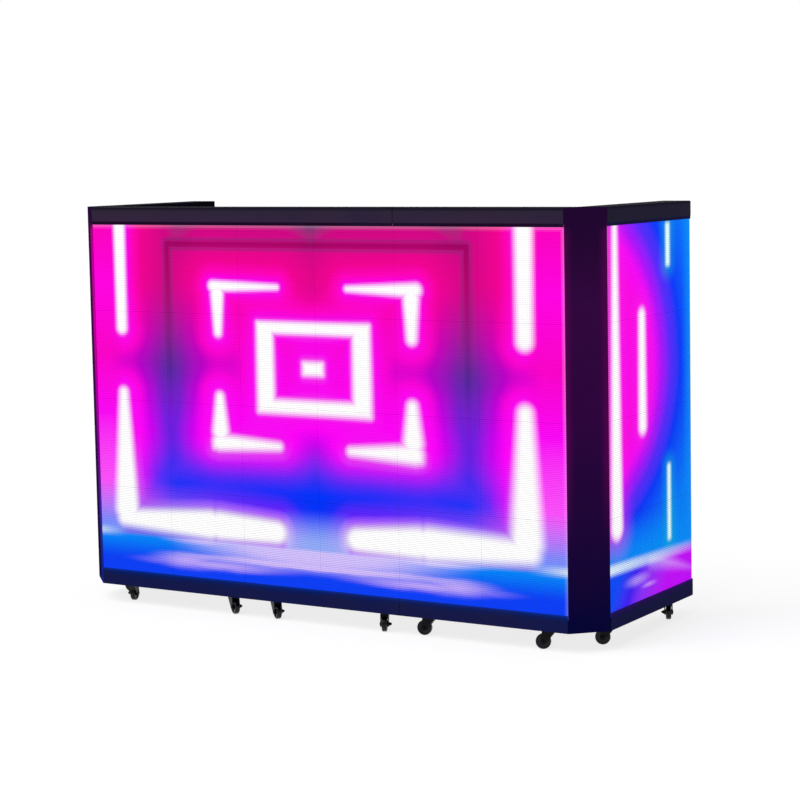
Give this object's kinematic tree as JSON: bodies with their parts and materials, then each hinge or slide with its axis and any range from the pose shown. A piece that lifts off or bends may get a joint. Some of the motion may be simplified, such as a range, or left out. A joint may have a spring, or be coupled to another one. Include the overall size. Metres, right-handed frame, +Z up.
{
  "type": "led screen dj booth front",
  "caption": "Free-standing U-shaped DJ booth front of LED screen cabinets, with chamfered corner columns, dark top rails and plinths, fold-in side wings and swivel casters.",
  "frame": {"origin": "middle of the booth's footprint, on the floor", "axes": "+X along the front from the left wing to the right wing as seen from the front, +Y from the front to the rear, +Z up"},
  "size_m": [1.664, 0.5825, 1.129],
  "materials": {
    "led_front": "black LED tile face, lit",
    "led_wing": "black LED tile face, lit",
    "cabinet": "black powder coat",
    "cover": "black powder coat, fine texture",
    "trim": "satin black powder coat",
    "column": "satin black powder coat",
    "supply": "bare metal case",
    "card": "green circuit board",
    "socket": "black moulded plastic",
    "screw": "blackened steel",
    "bolt": "zinc plated",
    "hinge": "zinc plated",
    "hinge_pin": "bare steel",
    "fork": "black enamel",
    "wheel": "black moulded rubber"
  },
  "bodies": {
    "front": {"front_cabinet_left": "cabinet", "front_cabinet_centre": "cabinet", "front_cabinet_right": "cabinet", "front_cover_left": "cover", "front_cover_centre": "cover", "front_cover_right": "cover", "front_led_tiles": "led_front", "front_top_rail_long": "trim", "front_top_rail_short": "trim", "front_plinth_long": "trim", "front_plinth_short": "trim", "corner_column_left": "column", "corner_column_right": "column", "front_power_supplies": "supply", "front_receiver_cards": "card", "front_sockets": "socket", "front_screws": "screw", "joining_bolts": "bolt", "front_hinge_leaves": "hinge", "hinge_pins": "hinge_pin"},
    "wing_left": {"wing_left_cabinet": "cabinet", "wing_left_cover": "cover", "wing_left_led_tiles": "led_wing", "wing_left_top_rail": "trim", "wing_left_plinth": "trim", "wing_left_power_supply": "supply", "wing_left_receiver_card": "card", "wing_left_sockets": "socket", "wing_left_screws": "screw", "wing_left_hinge_leaves": "hinge"},
    "wing_right": {"wing_right_cabinet": "cabinet", "wing_right_cover": "cover", "wing_right_led_tiles": "led_wing", "wing_right_top_rail": "trim", "wing_right_plinth": "trim", "wing_right_power_supply": "supply", "wing_right_receiver_card": "card", "wing_right_sockets": "socket", "wing_right_screws": "screw", "wing_right_hinge_leaves": "hinge"},
    "fork_front_1": {"caster_fork_front_1": "fork"},
    "wheel_front_1": {"caster_wheel_front_1": "wheel"},
    "fork_front_2": {"caster_fork_front_2": "fork"},
    "wheel_front_2": {"caster_wheel_front_2": "wheel"},
    "fork_front_3": {"caster_fork_front_3": "fork"},
    "wheel_front_3": {"caster_wheel_front_3": "wheel"},
    "fork_front_4": {"caster_fork_front_4": "fork"},
    "wheel_front_4": {"caster_wheel_front_4": "wheel"},
    "fork_front_5": {"caster_fork_front_5": "fork"},
    "wheel_front_5": {"caster_wheel_front_5": "wheel"},
    "fork_front_6": {"caster_fork_front_6": "fork"},
    "wheel_front_6": {"caster_wheel_front_6": "wheel"},
    "fork_left_1": {"caster_fork_left_1": "fork"},
    "wheel_left_1": {"caster_wheel_left_1": "wheel"},
    "fork_left_2": {"caster_fork_left_2": "fork"},
    "wheel_left_2": {"caster_wheel_left_2": "wheel"},
    "fork_right_1": {"caster_fork_right_1": "fork"},
    "wheel_right_1": {"caster_wheel_right_1": "wheel"},
    "fork_right_2": {"caster_fork_right_2": "fork"},
    "wheel_right_2": {"caster_wheel_right_2": "wheel"}
  },
  "joints": [
    {"name": "wing_left_fold", "type": "hinge", "parent": "front", "child": "wing_left", "pos_m": [-0.742, -0.2013, 0.588], "axis": [0, 0, -1], "range_deg": [0, 90]},
    {"name": "wing_right_fold", "type": "hinge", "parent": "front", "child": "wing_right", "pos_m": [0.742, -0.2013, 0.588], "axis": [0, 0, 1], "range_deg": [0, 90]},
    {"name": "caster_front_1_swivel", "type": "hinge", "parent": "front", "child": "fork_front_1", "pos_m": [-0.678, -0.2503, 0.053], "axis": [0, 0, 1], "continuous": true},
    {"name": "caster_front_1_roll", "type": "hinge", "parent": "fork_front_1", "child": "wheel_front_1", "pos_m": [-0.68326, -0.23309, 0.02], "axis": [-0.9563, -0.2924, 0], "continuous": true},
    {"name": "caster_front_2_swivel", "type": "hinge", "parent": "front", "child": "fork_front_2", "pos_m": [-0.322, -0.2503, 0.053], "axis": [0, 0, 1], "continuous": true},
    {"name": "caster_front_2_roll", "type": "hinge", "parent": "fork_front_2", "child": "wheel_front_2", "pos_m": [-0.30708, -0.26037, 0.02], "axis": [0.5592, 0.829, 0], "continuous": true},
    {"name": "caster_front_3_swivel", "type": "hinge", "parent": "front", "child": "fork_front_3", "pos_m": [-0.178, -0.2503, 0.053], "axis": [0, 0, 1], "continuous": true},
    {"name": "caster_front_3_roll", "type": "hinge", "parent": "fork_front_3", "child": "wheel_front_3", "pos_m": [-0.16382, -0.26138, 0.02], "axis": [0.6157, 0.788, 0], "continuous": true},
    {"name": "caster_front_4_swivel", "type": "hinge", "parent": "front", "child": "fork_front_4", "pos_m": [0.178, -0.2503, 0.053], "axis": [0, 0, 1], "continuous": true},
    {"name": "caster_front_4_roll", "type": "hinge", "parent": "fork_front_4", "child": "wheel_front_4", "pos_m": [0.18645, -0.26619, 0.02], "axis": [0.8829, 0.4695, 0], "continuous": true},
    {"name": "caster_front_5_swivel", "type": "hinge", "parent": "front", "child": "fork_front_5", "pos_m": [0.322, -0.2503, 0.053], "axis": [0, 0, 1], "continuous": true},
    {"name": "caster_front_5_roll", "type": "hinge", "parent": "fork_front_5", "child": "wheel_front_5", "pos_m": [0.30439, -0.25404, 0.02], "axis": [0.2079, -0.9781, 0], "continuous": true},
    {"name": "caster_front_6_swivel", "type": "hinge", "parent": "front", "child": "fork_front_6", "pos_m": [0.678, -0.2503, 0.053], "axis": [0, 0, 1], "continuous": true},
    {"name": "caster_front_6_roll", "type": "hinge", "parent": "fork_front_6", "child": "wheel_front_6", "pos_m": [0.66143, -0.25733, 0.02], "axis": [0.3907, -0.9205, 0], "continuous": true},
    {"name": "caster_left_1_swivel", "type": "hinge", "parent": "wing_left", "child": "fork_left_1", "pos_m": [-0.791, -0.1367, 0.053], "axis": [0, 0, 1], "continuous": true},
    {"name": "caster_left_1_roll", "type": "hinge", "parent": "fork_left_1", "child": "wheel_left_1", "pos_m": [-0.773, -0.1367, 0.02], "axis": [0, 1, 0], "continuous": true},
    {"name": "caster_left_2_swivel", "type": "hinge", "parent": "wing_left", "child": "fork_left_2", "pos_m": [-0.791, 0.2193, 0.053], "axis": [0, 0, 1], "continuous": true},
    {"name": "caster_left_2_roll", "type": "hinge", "parent": "fork_left_2", "child": "wheel_left_2", "pos_m": [-0.8, 0.20371, 0.02], "axis": [0.866, -0.5, 0], "continuous": true},
    {"name": "caster_right_1_swivel", "type": "hinge", "parent": "wing_right", "child": "fork_right_1", "pos_m": [0.791, -0.1367, 0.053], "axis": [0, 0, 1], "continuous": true},
    {"name": "caster_right_1_roll", "type": "hinge", "parent": "fork_right_1", "child": "wheel_right_1", "pos_m": [0.77482, -0.14459, 0.02], "axis": [0.4384, -0.8988, 0], "continuous": true},
    {"name": "caster_right_2_swivel", "type": "hinge", "parent": "wing_right", "child": "fork_right_2", "pos_m": [0.791, 0.2193, 0.053], "axis": [0, 0, 1], "continuous": true},
    {"name": "caster_right_2_roll", "type": "hinge", "parent": "fork_right_2", "child": "wheel_right_2", "pos_m": [0.79917, 0.20326, 0.02], "axis": [0.891, 0.454, 0], "continuous": true}
  ]
}
